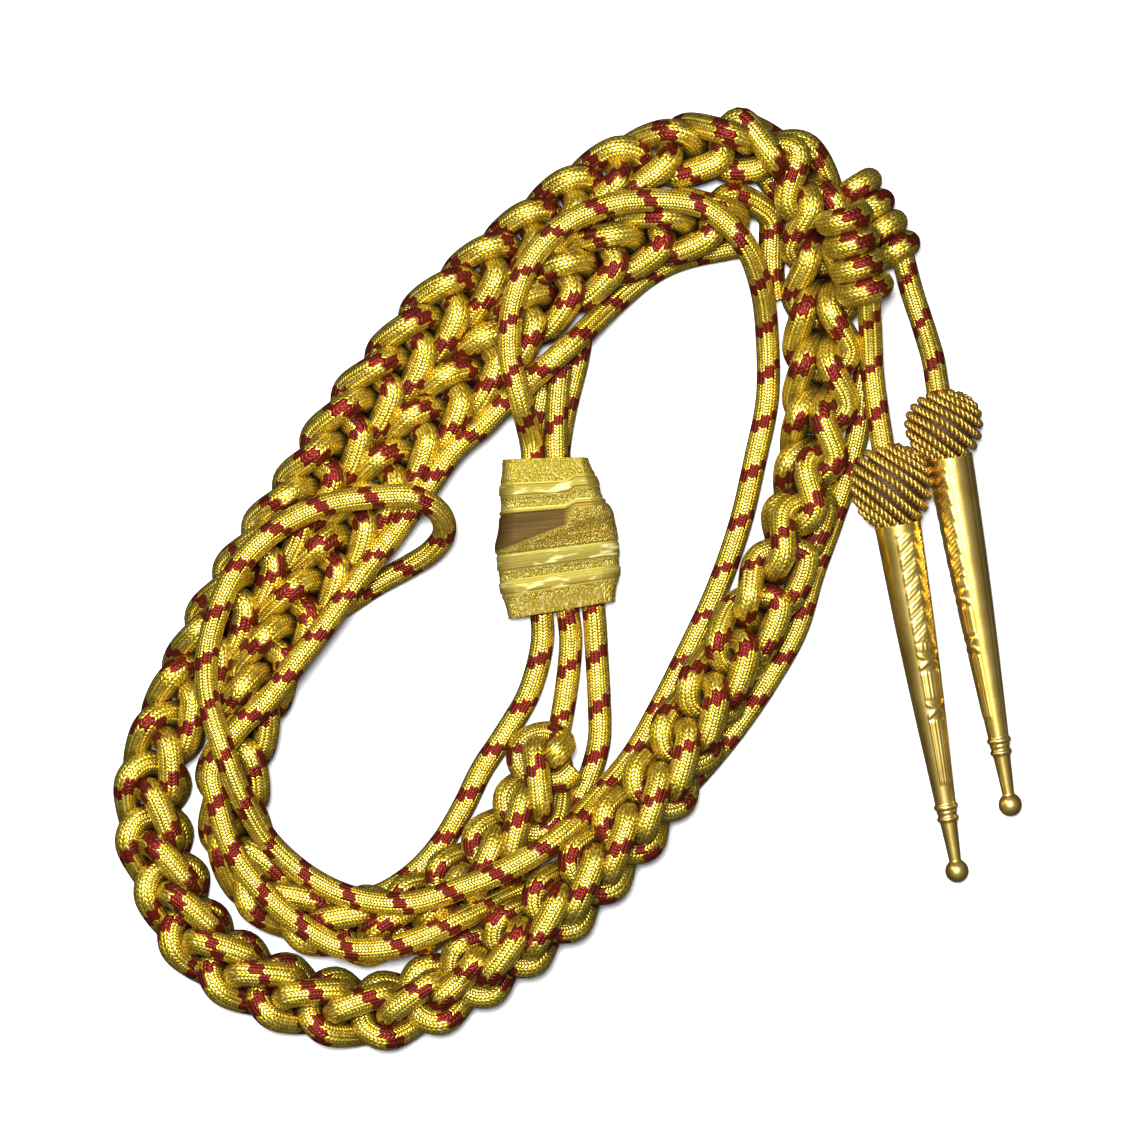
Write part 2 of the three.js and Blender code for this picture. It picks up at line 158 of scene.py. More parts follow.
# %% Smooth lines
def catmull_rom(points, closed=False, per_span=24):
    """Points along a centripetal Catmull-Rom curve through the given ones."""
    points = np.asarray(points, float)
    if closed:
        padded = np.vstack([points[-1:], points, points[:2]])
    else:
        first = 2 * points[0] - points[1]
        last = 2 * points[-1] - points[-2]
        padded = np.vstack([first, points, last])
    share = (np.arange(per_span) / per_span)[:, None]
    found = []
    for a, b, c, d in zip(padded, padded[1:], padded[2:], padded[3:]):
        t1 = np.linalg.norm(b - a) ** 0.5
        t2 = t1 + np.linalg.norm(c - b) ** 0.5
        t3 = t2 + np.linalg.norm(d - c) ** 0.5
        t = t1 + share * (t2 - t1)
        ab = a + (b - a) * t / t1
        bc = b + (c - b) * (t - t1) / (t2 - t1)
        cd = c + (d - c) * (t - t2) / (t3 - t2)
        abc = ab + (bc - ab) * t / t2
        bcd = bc + (cd - bc) * (t - t1) / (t3 - t1)
        found.append(abc + (bcd - abc) * (t - t1) / (t2 - t1))
    line = np.vstack(found)
    return line if closed else np.vstack([line, points[-1]])


def lengths_along(line):
    steps = np.linalg.norm(np.diff(line, axis=0), axis=1)
    return np.concatenate([[0], np.cumsum(steps)])


def even_steps(line, step):
    """The same line with its points at even steps."""
    along = lengths_along(line)
    count = max(int(round(along[-1] / step)), 2)
    at = np.linspace(0, along[-1], count + 1)
    return np.column_stack([np.interp(at, along, line[:, k]) for k in range(3)])


# %% [markdown]
# ## The sheath: a Geometry Nodes tree that turns a line into a cord
# A cord is a round section carried along a line. The tree keeps the length along the cord
# and the share of the way round in a UV map, because the braid on the surface needs both.
# It presses the cord flat where it would sink into the ground, as soft cord does.


# %% The sheath tree
class Tree:
    """Adds nodes to a Geometry Nodes tree: a type, its settings, then its sockets."""

    def __init__(self, name, *sockets):
        self.tree = bpy.data.node_groups.new(name, "GeometryNodeTree")
        new_socket = self.tree.interface.new_socket
        for socket_name, kind in sockets:
            new_socket(socket_name, in_out="INPUT", socket_type=kind)
        new_socket("Geometry", in_out="OUTPUT", socket_type="NodeSocketGeometry")
        self.inputs = self.tree.nodes.new("NodeGroupInput").outputs

    def node(self, kind, settings=None, **sockets):
        node = self.tree.nodes.new(kind)
        for name, value in (settings or {}).items():
            setattr(node, name, value)
        for name, value in sockets.items():
            socket = node.inputs[int(name[1:])] if name[1:].isdigit() else node.inputs[name]
            if isinstance(value, bpy.types.NodeSocket):
                self.tree.links.new(value, socket)
            else:
                socket.default_value = value
        return node

    def captured(self, geometry, value, name):
        """Keeps a value with each point, so that later nodes can still read it."""
        node = self.tree.nodes.new("GeometryNodeCaptureAttribute")
        node.capture_items.new("FLOAT", name)
        self.tree.links.new(geometry, node.inputs[0])
        self.tree.links.new(value, node.inputs[1])
        return node.outputs[0], node.outputs[1]

    def stored(self, geometry, value, name, kind, domain):
        """Writes a value on the mesh, under a name that a material can read."""
        settings = {"data_type": kind, "domain": domain}
        node = self.node(
            "GeometryNodeStoreNamedAttribute", settings, Geometry=geometry, Name=name
        )
        value_socket = next(s for s in node.inputs if s.name == "Value" and s.enabled)
        self.tree.links.new(value, value_socket)
        return node.outputs[0]

    def math(self, operation, first, second=0.0):
        return self.node("ShaderNodeMath", {"operation": operation}, _0=first, _1=second).outputs[0]

    def finish(self, geometry, material):
        real = self.node("GeometryNodeRealizeInstances", Geometry=geometry).outputs[0]
        dressed = self.node("GeometryNodeSetMaterial", Geometry=real, Material=material)
        out = self.tree.nodes.new("NodeGroupOutput")
        self.tree.links.new(dressed.outputs[0], out.inputs[0])


# Rays from each point of a cord: those that meet another stretch of it say how sheltered
# the point is, and so how much painted shade darkens its colour
SHADE_RAYS = [(0, 0, 1), (0.64, 0, 0.77), (-0.64, 0, 0.77), (0, 0.64, 0.77), (0, -0.64, 0.77)]
SHADE_REACH = 14 * MM
SHADE_START = (0.4 * MM, 0.4 * MM, 0.4 * MM)
SHADE_BLUR = 3


def with_painted_shade(t, cord):
    """The cord with the share of the rays that are stopped, kept as an attribute for painted shade."""
    where = t.node("GeometryNodeInputPosition").outputs[0]
    outward = t.node("GeometryNodeInputNormal").outputs[0]
    start = t.node(
        "ShaderNodeVectorMath", {"operation": "MULTIPLY_ADD"},
        _0=outward, _1=SHADE_START, _2=where,
    ).outputs[0]
    stopped = 0.0
    for direction in SHADE_RAYS:
        ray = t.node("GeometryNodeRaycast", None, **{
            "Target Geometry": cord,
            "Source Position": start,
            "Ray Direction": direction,
            "Ray Length": SHADE_REACH,
        })
        stopped = t.math("ADD", ray.outputs["Is Hit"], stopped)
    share = t.math("MULTIPLY", stopped, 1 / len(SHADE_RAYS))
    soft = t.node("GeometryNodeBlurAttribute", {"data_type": "FLOAT"}, _0=share, Iterations=SHADE_BLUR)
    return t.stored(cord, soft.outputs[0], "shelter", "FLOAT", "POINT")


def sheath_tree():
    t = Tree(
        "sheath",
        ("Line", "NodeSocketGeometry"),
        ("Diameter", "NodeSocketFloat"),
        ("Sides", "NodeSocketInt"),
        ("Floor", "NodeSocketFloat"),
        ("Material", "NodeSocketMaterial"),
    )
    line = t.node("GeometryNodeMeshToCurve", Mesh=t.inputs["Line"]).outputs[0]
    place = t.node("GeometryNodeSplineParameter")
    line, along = t.captured(line, place.outputs["Length"], "along")
    radius = t.math("MULTIPLY", t.inputs["Diameter"], 0.5)
    circle = t.node("GeometryNodeCurvePrimitiveCircle", Resolution=t.inputs["Sides"], Radius=radius)
    turn = t.node("GeometryNodeSplineParameter")
    section, around = t.captured(circle.outputs[0], turn.outputs["Factor"], "around")
    tube = t.node("GeometryNodeCurveToMesh", Curve=line, _1=section).outputs[0]
    tube.node.inputs["Fill Caps"].default_value = True
    # The last column of faces joins the end of the round back to its start: there the
    # start's corners count as a whole turn
    face_mean = t.node(
        "GeometryNodeFieldOnDomain", {"domain": "FACE", "data_type": "FLOAT"}, _0=around
    ).outputs[0]
    at_start = t.math("LESS_THAN", around, 0.001)
    last_column = t.math("MULTIPLY", at_start, t.math("GREATER_THAN", face_mean, 0.25))
    whole = t.math("ADD", around, last_column)
    uv = t.node("ShaderNodeCombineXYZ", X=along, Y=whole).outputs[0]
    mapped = t.stored(tube, uv, "UVMap", "FLOAT2", "CORNER")
    where = t.node("GeometryNodeInputPosition").outputs[0]
    parts = t.node("ShaderNodeSeparateXYZ", Vector=where)
    height = t.math("MAXIMUM", parts.outputs["Z"], t.inputs["Floor"])
    pressed = t.node(
        "ShaderNodeCombineXYZ", X=parts.outputs["X"], Y=parts.outputs["Y"], Z=height
    ).outputs[0]
    moved = t.node("GeometryNodeSetPosition", Geometry=mapped, Position=pressed)
    smooth = t.node("GeometryNodeSetShadeSmooth", Geometry=moved.outputs[0], _2=True)
    t.finish(with_painted_shade(t, smooth.outputs[0]), t.inputs["Material"])
    return t.tree


SHEATH = sheath_tree()
print("Sheath tree:", len(SHEATH.nodes), "nodes")

# %% [markdown]
# A modifier runs the tree on a mesh that holds only lines. The result is taken as a plain
# mesh, and the object with the modifier is removed.


# %% Running a tree
def new_piece(name, mesh):
    piece = placed(name, mesh)
    print(name + ":", sum(len(f.vertices) - 2 for f in mesh.polygons), "triangles")
    return piece


def run_tree(name, source, tree, **values):
    """The mesh that a tree makes from a source mesh, as a new object."""
    holder = placed(name + "_source", source)
    modifier = holder.modifiers.new("tree", "NODES")
    modifier.node_group = tree
    sockets = {item.name: item.identifier for item in tree.interface.items_tree}
    for key, value in values.items():
        modifier[sockets[key.replace("_", " ")]] = value
    graph = bpy.context.evaluated_depsgraph_get()
    mesh = bpy.data.meshes.new_from_object(holder.evaluated_get(graph), depsgraph=graph)
    holder.modifiers.remove(modifier)
    bpy.data.objects.remove(holder)
    mesh.name = name
    return new_piece(name, mesh)


def line_mesh(name, lines):
    mesh = bpy.data.meshes.new(name)
    points, edges = [], []
    for line in lines:
        first = len(points)
        points += [tuple(p) for p in line]
        edges += [(i, i + 1) for i in range(first, len(points) - 1)]
    mesh.from_pydata(points, edges, [])
    return mesh


def sheathed(name, lines, diameter, sides, material):
    return run_tree(
        name,
        line_mesh(name, lines),
        SHEATH,
        Diameter=diameter,
        Sides=sides,
        Floor=PRESSED_FLOOR,
        Material=material,
    )


def dress(piece, slot_name, *nodes):
    """Ties a finished piece to the body and hides the solids it replaces; the slot name is not used."""
    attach(piece, "root")
    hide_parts(*nodes)
    return piece


# %% [markdown]
# ## Shader sums
# A pattern such as a braid is a sum of a few waves. This small class lets a material be
# written as ordinary sums: each operator adds the Math node that does it.


# %% The Field class
class Field:
    """One output of a shader node, used like a number."""

    def __init__(self, tree, socket=None):
        self.tree = tree
        self.socket = socket

    def node(self, kind, settings=None, sockets=None, output=0):
        """Adds a shader node: its kind, its settings, and the values or links it takes."""
        made = self.tree.nodes.new("ShaderNode" + kind)
        for name, value in (settings or {}).items():
            if name == "stops":
                self.set_stops(made.color_ramp, value)
            else:
                setattr(made, name, value)
        for key, value in (sockets or {}).items():
            if isinstance(value, Field):
                self.tree.links.new(value.socket, made.inputs[key])
            else:
                made.inputs[key].default_value = value
        return Field(self.tree, made.outputs[output] if len(made.outputs) else None)

    @staticmethod
    def set_stops(ramp, stops):
        while len(ramp.elements) < len(stops):
            ramp.elements.new(1)
        for element, (position, colour) in zip(ramp.elements, stops):
            element.position = position
            element.color = colour

    def math(self, operation, *values, clamp=False):
        settings = {"operation": operation, "use_clamp": clamp}
        return self.node("Math", settings, dict(enumerate(values)))

    def clamped(self):
        return self.math("ADD", self, 0.0, clamp=True)

    def hump(self):
        """0 at each whole number and 1 half way between two of them."""
        return (self.fract() * math.pi).sine()

    def random(self, seed):
        """A number from 0 to 1 that stays the same over each whole number."""
        return self.node(
            "TexWhiteNoise", {"noise_dimensions": "1D"}, {"W": self + seed}, output=0
        )

    def mix(self, first, second):
        """Between two colours, by this value."""
        return self.node(
            "Mix",
            {"data_type": "RGBA"},
            {0: self, 6: first, 7: second},
            output=2,
        )

    def between(self, first, second):
        """Between two numbers or sums, by this value."""
        return first + self * (second - first)


def operator(operation, swapped=False):
    """A method that adds the Math node for a sum with this value."""
    def method(self, *others):
        values = (*others, self) if swapped else (self, *others)
        return self.math(operation, *values)
    return method


for sign, operation in {
    "__add__": "ADD", "__radd__": "ADD", "__sub__": "SUBTRACT", "__mul__": "MULTIPLY",
    "__rmul__": "MULTIPLY", "__lt__": "LESS_THAN", "__gt__": "GREATER_THAN",
    "floor": "FLOOR", "fract": "FRACT", "modulo": "FLOORED_MODULO", "sine": "SINE",
    "power": "POWER",
}.items():
    setattr(Field, sign, operator(operation))
Field.__rsub__ = operator("SUBTRACT", swapped=True)


def new_material(name):
    material = bpy.data.materials.new(name)
    material.use_nodes = True
    material.node_tree.nodes.clear()
    return material, Field(material.node_tree)


def uv_parts(field):
    uv = field.node("UVMap", {"uv_map": "UVMap"})
    parts = field.node("SeparateXYZ", None, {0: uv})
    return Field(field.tree, parts.socket.node.outputs[0]), Field(
        field.tree, parts.socket.node.outputs[1]
    )


def clouds(field, scale, detail):
    """Soft noise through the piece, from 0 to 1."""
    place = field.node("TexCoord", output=3)
    sockets = {"Vector": place, "Scale": scale, "Detail": detail}
    return field.node("TexNoise", None, sockets)


def close_material(field, colour, roughness, metallic, height, distance):
    """The Principled shader, with the surface's small relief as a bump."""
    bump = field.node(
        "Bump", None, {"Strength": 1.0, "Distance": distance, "Height": height}
    )
    shader = field.node("BsdfPrincipled", None, {
        "Base Color": colour,
        "Roughness": roughness,
        "Metallic": metallic,
        "Normal": bump,
    })
    field.node("OutputMaterial", None, {0: shader})


# %% [markdown]
# ## The braided cord
# The real cord is a core inside a tube of fine gold wire threads, braided so that the
# stitches lie in columns along it and lean left and right by turns, as rows of small
# chevrons. Each stitch is a bead, with a painted highlight on its crown and painted shade in
# the gap round it, and painted shade darkens the cord where other stretches of it lie over
# it. Some threads are maroon: they show as small blocks, three columns wide, that wind round
# the cord once in about 13 mm. All of it follows the cord's own UV map.

# %% Gold cord material
STITCH_COLUMNS = 21
STITCH = 0.81 * MM
STITCH_LEAN = 0.7
MAROON_TURN = 12.9 * MM
MAROON_BLOCKS = 7
MAROON_SHARE = 0.235
GOLD_DEEP = (0.58, 0.35, 0.006, 1)
GOLD_BRIGHT = (0.84, 0.64, 0.022, 1)
GOLD_PAINTED_HIGHLIGHT = (1.0, 0.96, 0.48, 1)
MAROON_DEEP = (0.06, 0.0, 0.003, 1)
MAROON_BRIGHT = (0.27, 0.0, 0.008, 1)
STITCH_SHADOW = (0.17, 0.08, 0.001, 1)
# Painted shade: the near-black colour a cord is mixed towards where other stretches of it lie over it
PAINTED_SHADE_COLOUR = (0.022, 0.006, 0.002, 1)


def gold_cord_material():
    material, field = new_material("gold_cord")
    along, around = uv_parts(field)
    columns = around * STITCH_COLUMNS
    across = columns.fract()
    lean = columns.floor().modulo(2) * 2 - 1
    stitches = along * (1 / STITCH) + (across - 0.5) * lean * STITCH_LEAN
    bead = stitches.hump()
    crown = across.hump()
    tone = (stitches.floor() + columns.floor() * 57.0).random(3.0)
    block = (around * MAROON_BLOCKS).floor() * (1 / MAROON_BLOCKS)
    place = block - (stitches.floor() + 0.5) * (STITCH / MAROON_TURN)
    maroon = place.fract() < MAROON_SHARE
    patch = field.node(
        "TexNoise", {"noise_dimensions": "1D"}, {"W": along, "Scale": 150.0, "Detail": 2.0}
    )
    light = (tone * 0.5 + patch * 0.5).clamped()
    gold = light.mix(GOLD_DEEP, GOLD_BRIGHT)
    # Painted highlight: each stitch's crown is mixed towards a pale gold, more on some stitches than
    # others at random
    crest_highlight = (bead * crown).power(2.2)
    gold = (crest_highlight * 0.75 * (tone + 0.3)).clamped().mix(gold, GOLD_PAINTED_HIGHLIGHT)
    # Maroon: lighter on each stitch's crown, a painted highlight, and lighter or darker at random
    red = (crest_highlight * 0.6 + tone * 0.4).clamped().mix(MAROON_DEEP, MAROON_BRIGHT)
    # Painted shade: darker in the gaps between the stitches and between the columns
    edge = ((1 - bead).power(2.0) * 0.5 + (1 - crown).power(3.0) * 0.35).clamped()
    colour = edge.mix(maroon.mix(gold, red), STITCH_SHADOW)
    # Painted shade: the stored share of stopped rays darkens the colour towards near black
    shelter = field.node("Attribute", {"attribute_name": "shelter"}, None, output=2)
    colour = (shelter.power(1.3) * 0.96).clamped().mix(colour, PAINTED_SHADE_COLOUR)
    roughness = maroon.between(0.34, 0.4) + tone * 0.08
    metallic = maroon.between(0.95, 0.75)
    height = bead.power(0.7) * crown.power(0.5)
    close_material(field, colour, roughness, metallic, height, 0.15 * MM)
    return material


GOLD_CORD = gold_cord_material()
print("Gold cord material:", len(GOLD_CORD.node_tree.nodes), "nodes")

# %% [markdown]
# ## The plain cords
# Each route becomes a smooth line at small even steps, then a cord of the real diameter.
# The photograph shows nearly all of each free cord, and the short cord in the middle is under
# six diameters long. Some cords run on for a few millimetres, out of sight, into the knot,
# acorn or plait that they come from or go to.

# %% Make the plain cords
CORD_SIDES = 24
CORD_STEP = 0.8 * MM
END_MARGIN = 0.1 * MM
# How far each of these cords runs on at its start and at its end
HIDDEN_ENDS = {
    "pendant_cord_1": (4 * MM, 3 * MM),
    "pendant_cord_2": (5 * MM, 3 * MM),
    "cord_loop_upper": (END_MARGIN, 5 * MM),
    "cord_loop_lower": (4 * MM, 5 * MM),
}


def grown(line, before, after):
    """The line with a straight end added at either end, to run on into a neighbour."""
    first = line[0] - line[1]
    last = line[-1] - line[-2]
    start = line[0] + first / np.linalg.norm(first) * before
    end = line[-1] + last / np.linalg.norm(last) * after
    return even_steps(np.vstack([start, line, end]), CORD_STEP)


def add_cord(name, route):
    line = even_steps(catmull_rom(np.array(route) * MM + ROUTE_TO_FRAME), CORD_STEP)
    line = grown(line, *HIDDEN_ENDS.get(name, (END_MARGIN, END_MARGIN)))
    piece = sheathed(name + "_braid", [line], CORD_DIAMETER, CORD_SIDES, GOLD_CORD)
    dress(piece, "gold_cord", name)
    return piece


for cord_name, cord_route in CORD_ROUTES.items():
    add_cord(cord_name, cord_route)

# %% [markdown]
# ## The chain plait
# The two heavy plaits are one cord pulled through itself, loop after loop, as in a crochet
# chain: it rises through the loop before, crosses over that loop's end, spreads to the
# corner, turns at the shoulder and comes back as a mirror image. The keys say where the
# cord lies in one loop, as shares of the pitch, the half width and the height. A Python
# class lays the keys along the plait's route and rolls them about it, since the plait
# shows its back or its side in places. The sheath tree then makes the cord.

# %% Keys of one loop and the routes
PLAIT_PITCH = 13.4 * MM
PLAIT_HALF_WIDTH = 7.3 * MM
PLAIT_HEIGHT = 10.4 * MM
PLAIT_GRIPPED = 4.2 * MM
LOOP_LEG = [(0, 0.33, 0), (0.067, 0.33, 0.54), (0.41, 0.45, 1), (1.164, 1, 0.52), (1.485, 0.55, 0.49)]
LOOP_KEYS = LOOP_LEG + [(along, -across, up) for along, across, up in reversed(LOOP_LEG)]
EYE_KEYS = [
    (0.24, 1, 0.52), (0.485, 0.55, 0.49), (0.485, -0.55, 0.49), (0.2, -1, 0.52),
    (-0.14, -0.82, 0.54), (-0.34, -0.1, 0.52), (-0.22, 0.5, 0.3),
]
CUT_KEY = (0.5, 0, 0)
# After its last loop the cord of the inner plait runs on between two others
PLAIT_INNER_END = [
    (52.6, 89, 5.6), (53.2, 84, 3.6), (53, 78.5, 3.5), (53.2, 73, 3.5), (53.8, 67.5, 3.5),
]
# x, y and lift of the plait's middle in millimetres, and its roll in degrees
PLAIT_OUTER_ROUTE = [
    (14, 99, 0, 212), (26, 104, 0, 218), (39, 107, 0, 248), (52, 106.5, 0, 282), (60, 99, 0, 310),
    (65, 84, 0, 350), (66, 67, 0, 18), (66, 49, 0, 20), (65, 34, 0, 35), (61, 16, 0, 60),
    (53, -4, 0, 105), (45, -21, 1.2, 145), (36, -36, 2.4, 155), (28, -51, 4, 168), (18, -65, 6.8, 172),
    (7, -78, 7.2, 172), (-5, -90, 8, 170), (-18, -100, 7, 172), (-32, -109, 3.4, 190),
    (-48, -114, 0, 205), (-65.5, -111, 0, 205), (-80.5, -105, 0, 205), (-93, -95.5, 0, 205),
    (-100, -82, 0, 205), (-104.5, -69, 0, 205), (-104.5, -55, 0, 210), (-98.7, -38.5, 0, 220),
    (-91.7, -23.5, 0, 235), (-85.7, -11.5, 0, 245), (-78.7, -0.5, 0, 245), (-70.7, 11.5, 0, 245),
    (-62.7, 22.5, 0, 245), (-55.5, 34.5, 0, 245), (-42.5, 50.5, 0, 240), (-32.5, 62.5, 0, 235),
    (-21.5, 72, 0, 225), (-10.5, 81, 0, 220), (2, 91, 0, 215),
]
PLAIT_INNER_ROUTE = [
    (-4, -48, 1, 190), (-6, -58, 1, 190), (-14, -70, 1.4, 182), (-25, -81, 1.4, 175),
    (-37, -89, 1.6, 185), (-49, -92, 1.8, 195), (-62, -90, 0.5, 200), (-74, -84, 0, 210),
    (-82, -74, 0, 230), (-84.5, -61, 0, 245), (-84, -49.5, 0, 245), (-80.2, -37, 0, 245),
    (-75.1, -24.2, 0, 245), (-67.8, -11.5, 0, 240), (-60, -0.3, 0, 235), (-52.3, 10.8, 0, 225),
    (-44, 22.2, 0, 225), (-35.5, 33.5, 0, 225), (-25.5, 45, 0, 225), (-15.5, 56, 0, 230),
    (-5.5, 67, 0, 235), (6.5, 76, 0, 240), (19, 83, 0, 245), (32, 87, 0, 250), (45, 88, 0, 250),
]


# %% Lay the loops along a route
SPAN_STEPS = 40
KEY_STEPS = 10
PLAIT_STEP = 1.1 * MM


class PlaitRoute:
    """The middle of a plait, and where each key of each loop lies round it."""

    def __init__(self, rows, closed):
        rows = np.array(rows, float)
        rows[:, :3] *= MM
        ring = np.vstack([rows, rows[:1]]) if closed else rows
        line = catmull_rom(rows[:, :3], closed, SPAN_STEPS)
        self.closed = closed
        self.middle = np.vstack([line, line[:1]]) if closed else line
        self.along = lengths_along(self.middle)
        self.length = self.along[-1]
        turns = np.unwrap(np.radians(ring[:, 3]))
        at_row = np.arange(len(self.middle)) / SPAN_STEPS
        self.rolls = np.interp(at_row, np.arange(len(ring)), turns)
        ahead = np.gradient(self.middle[:, :2], axis=0)
        self.ahead = ahead / np.linalg.norm(ahead, axis=1)[:, None]
        loops = self.length / PLAIT_PITCH - (0 if closed else 0.5)
        self.loops = round(loops) if closed else math.floor(loops)
        self.pitch = self.length / self.loops if closed else PLAIT_PITCH

    def at(self, place, values):
        return np.interp(place, self.along, values)

    def point(self, loop, key):
        along, across, up = key
        place = (loop + along) * self.pitch
        beyond = 0
        if self.closed:
            place %= self.length
        else:
            beyond = place - min(max(place, 0), self.length)
            place -= beyond
        roll = self.at(place, self.rolls)
        cosine, sine = math.cos(roll), math.sin(roll)
        left = [-k[1] * PLAIT_HALF_WIDTH for k in LOOP_KEYS]
        above = [(k[2] - 0.5) * PLAIT_HEIGHT for k in LOOP_KEYS]
        rest = max(-(a * sine + b * cosine) for a, b in zip(left, above)) + PLAIT_GRIPPED / 2
        aside = -across * PLAIT_HALF_WIDTH
        height = (up - 0.5) * PLAIT_HEIGHT
        leftwards = aside * cosine - height * sine
        upwards = aside * sine + height * cosine + rest
        ahead_x, ahead_y = (self.at(place, self.ahead[:, k]) for k in range(2))
        x, y, z = (self.at(place, self.middle[:, k]) for k in range(3))
        return (
            x + ahead_x * beyond - ahead_y * leftwards,
            y + ahead_y * beyond + ahead_x * leftwards,
            z + upwards,
        )


def plait_line(route, first, last, start_keys, end_keys, beyond=()):
    keys = start_keys + [(loop, key) for loop in range(first, last) for key in LOOP_KEYS] + end_keys
    points = np.array([route.point(loop, key) for loop, key in keys])
    if beyond:
        points = np.vstack([points, np.array(beyond) * MM])
    return even_steps(catmull_rom(points + ROUTE_TO_FRAME, per_span=KEY_STEPS), PLAIT_STEP)


# %% Make the plaits
PLAIT_SIDES = 16
outer_route = PlaitRoute(PLAIT_OUTER_ROUTE, closed=True)
inner_route = PlaitRoute(PLAIT_INNER_ROUTE, closed=False)
half_way = round(outer_route.loops / 2)
plait_lines = {
    "plait_outer_lower": plait_line(
        outer_route, 0, half_way, [(-1, CUT_KEY)], [(half_way - 1, CUT_KEY)]
    ),
    "plait_outer_upper": plait_line(
        outer_route, half_way, outer_route.loops,
        [(half_way - 1, CUT_KEY)], [(outer_route.loops - 1, CUT_KEY)],
    ),
    "plait_inner": plait_line(
        inner_route, 0, inner_route.loops,
        [(0, key) for key in EYE_KEYS], [(inner_route.loops, key) for key in LOOP_LEG[:3]],
        PLAIT_INNER_END,
    ),
}
for node, line in plait_lines.items():
    braid = sheathed(node + "_braid", [line], STRAND_DIAMETER, PLAIT_SIDES, GOLD_CORD)
    dress(braid, "gold_cord", node)
print("Outer plait:", outer_route.loops, "loops; inner plait:", inner_route.loops, "loops")

# %% [markdown]
# ## The knots
# Two knots hold the pendant cords to the plait. Each is cord wrapped side by side round
# itself. A wrap lies straight across where it shows and moves on to the next place behind,
# so the line is a helix that advances only in the hidden half of each turn.

# %% Axes of a sloping piece
# Each knot's start, the point it runs towards, and its diameter, in millimetres
KNOTS = {
    "knot_1": ((69.9, 90.3, 22.6), (76.9, 67.3, 18.6), 14.6),
    "knot_2": ((73.6, 99, 6.8), (85.6, 79.5, 6.8), 12.4),
}
KNOT_LENGTH = 25 * MM
KNOT_WRAPS = 4
LAST_WRAP_SHORT = 0.45
WRAP_POINTS = 48
WRAP_DIAMETER = 6.6 * MM


def sloping_axes(start, towards):
    """The start in the frame, and the directions ahead, to the right and above."""
    start = np.array(start) * MM + ROUTE_TO_FRAME
    ahead = np.array(towards) * MM + ROUTE_TO_FRAME - start
    ahead /= np.linalg.norm(ahead)
    right = np.cross([0, 0, 1], ahead)
    right /= np.linalg.norm(right)
    return start, ahead, right, np.cross(ahead, right)


def smooth_step(value):
    value = np.clip(value, 0, 1)
    return value * value * (3 - 2 * value)


def ridge(away, half):
    """A rounded ridge: 1 in its middle, and 0 from its half width on."""
    return np.sqrt(np.clip(1 - (away / half) ** 2, 0, 1))


def knot_line(start, towards, diameter):
    start, ahead, right, above = sloping_axes(start, towards)
    turns = np.linspace(0, KNOT_WRAPS - LAST_WRAP_SHORT, KNOT_WRAPS * WRAP_POINTS)
    moved = np.floor(turns) + smooth_step((turns % 1 - 0.5) * 2)
    place = (moved + 0.5) * KNOT_LENGTH / KNOT_WRAPS
    angle = turns * 2 * math.pi
    round_it = np.outer(np.cos(angle), right) + np.outer(np.sin(angle), above)
    radius = (diameter * MM - CORD_DIAMETER) / 2
    return even_steps(start + np.outer(place, ahead) + round_it * radius, CORD_STEP)


# %% Make the knots
for node, (start, towards, diameter) in KNOTS.items():
    line = knot_line(start, towards, diameter)
    wraps = sheathed(node + "_wraps", [line], WRAP_DIAMETER, CORD_SIDES, GOLD_CORD)
    dress(wraps, "gold_cord", node)

# %% [markdown]
# ## The slide
# The slide is a flattened sleeve of gold lace. Its stripes run round it, a little higher on
# the right: bands of glittering purl, smooth satin and fine beading, with thin cords
# between them, and the cloth is pulled into a soft fold in the middle. The sleeve is a
# grid: one row for each place along it, one column for each place round it. The relief of
# the bands moves the grid outwards, and the material paints them from the same shares.

# %% Sections of the slide
SLIDE_MIDDLE = np.array([-2.3, 7.5]) * MM + ROUTE_TO_FRAME[:2]
SLIDE_LENGTH = 39 * MM
SLIDE_WIDTH = 31 * MM
SLIDE_HEIGHT = 15.8 * MM
SLIDE_WALL = 1.2 * MM
# Share along, left edge, right edge, height and slope
SLIDE_SECTIONS = [
    (0, 0.44, 0.28, 0.93, 0.03), (0.16, 0.46, 0.36, 1, 0.05), (0.32, 0.46, 0.42, 0.95, 0.08),
    (0.48, 0.47, 0.5, 0.82, 0.11), (0.64, 0.48, 0.53, 0.72, 0.13), (0.8, 0.46, 0.54, 0.65, 0.15),
    (1, 0.39, 0.5, 0.64, 0.17),
]
SLIDE_ROWS = 260
SLIDE_COLUMNS = 200
SLIDE_INSIDE_ROWS = 20
OUTLINE_POWER = 0.55


def slide_outline(section, wall):
    """One closed section of the slide, with its points at even steps."""
    left, right, high = section[1:4]
    turn = np.linspace(0, 2 * math.pi, 4001)
    cosine = np.cos(turn)
    pressed = np.clip(1.2 * np.sin(turn), -1, 1)
    edge = np.where(cosine < 0, left, right) * SLIDE_WIDTH - wall
    x = np.sign(cosine) * np.abs(cosine) ** OUTLINE_POWER * edge
    half = high * SLIDE_HEIGHT / 2
    z = np.sign(pressed) * np.abs(pressed) ** OUTLINE_POWER * (half - wall) + half
    outline = np.column_stack([x, z, np.zeros_like(x)])
    along = lengths_along(outline)
    at = np.linspace(0, along[-1], SLIDE_COLUMNS + 1)[:-1]
    return np.interp(at, along, x), np.interp(at, along, z)


def slide_grid(shares, wall):
    sections = catmull_rom(SLIDE_SECTIONS)
    rows = []
    for share in shares:
        section = [np.interp(share, sections[:, 0], sections[:, k]) for k in range(5)]
        x, z = slide_outline(section, wall)
        y = SLIDE_LENGTH * (0.5 - share) + section[4] * x
        rows.append(np.column_stack([x + SLIDE_MIDDLE[0], y + SLIDE_MIDDLE[1], z + ROUTE_TO_FRAME[2]]))
    return np.array(rows)


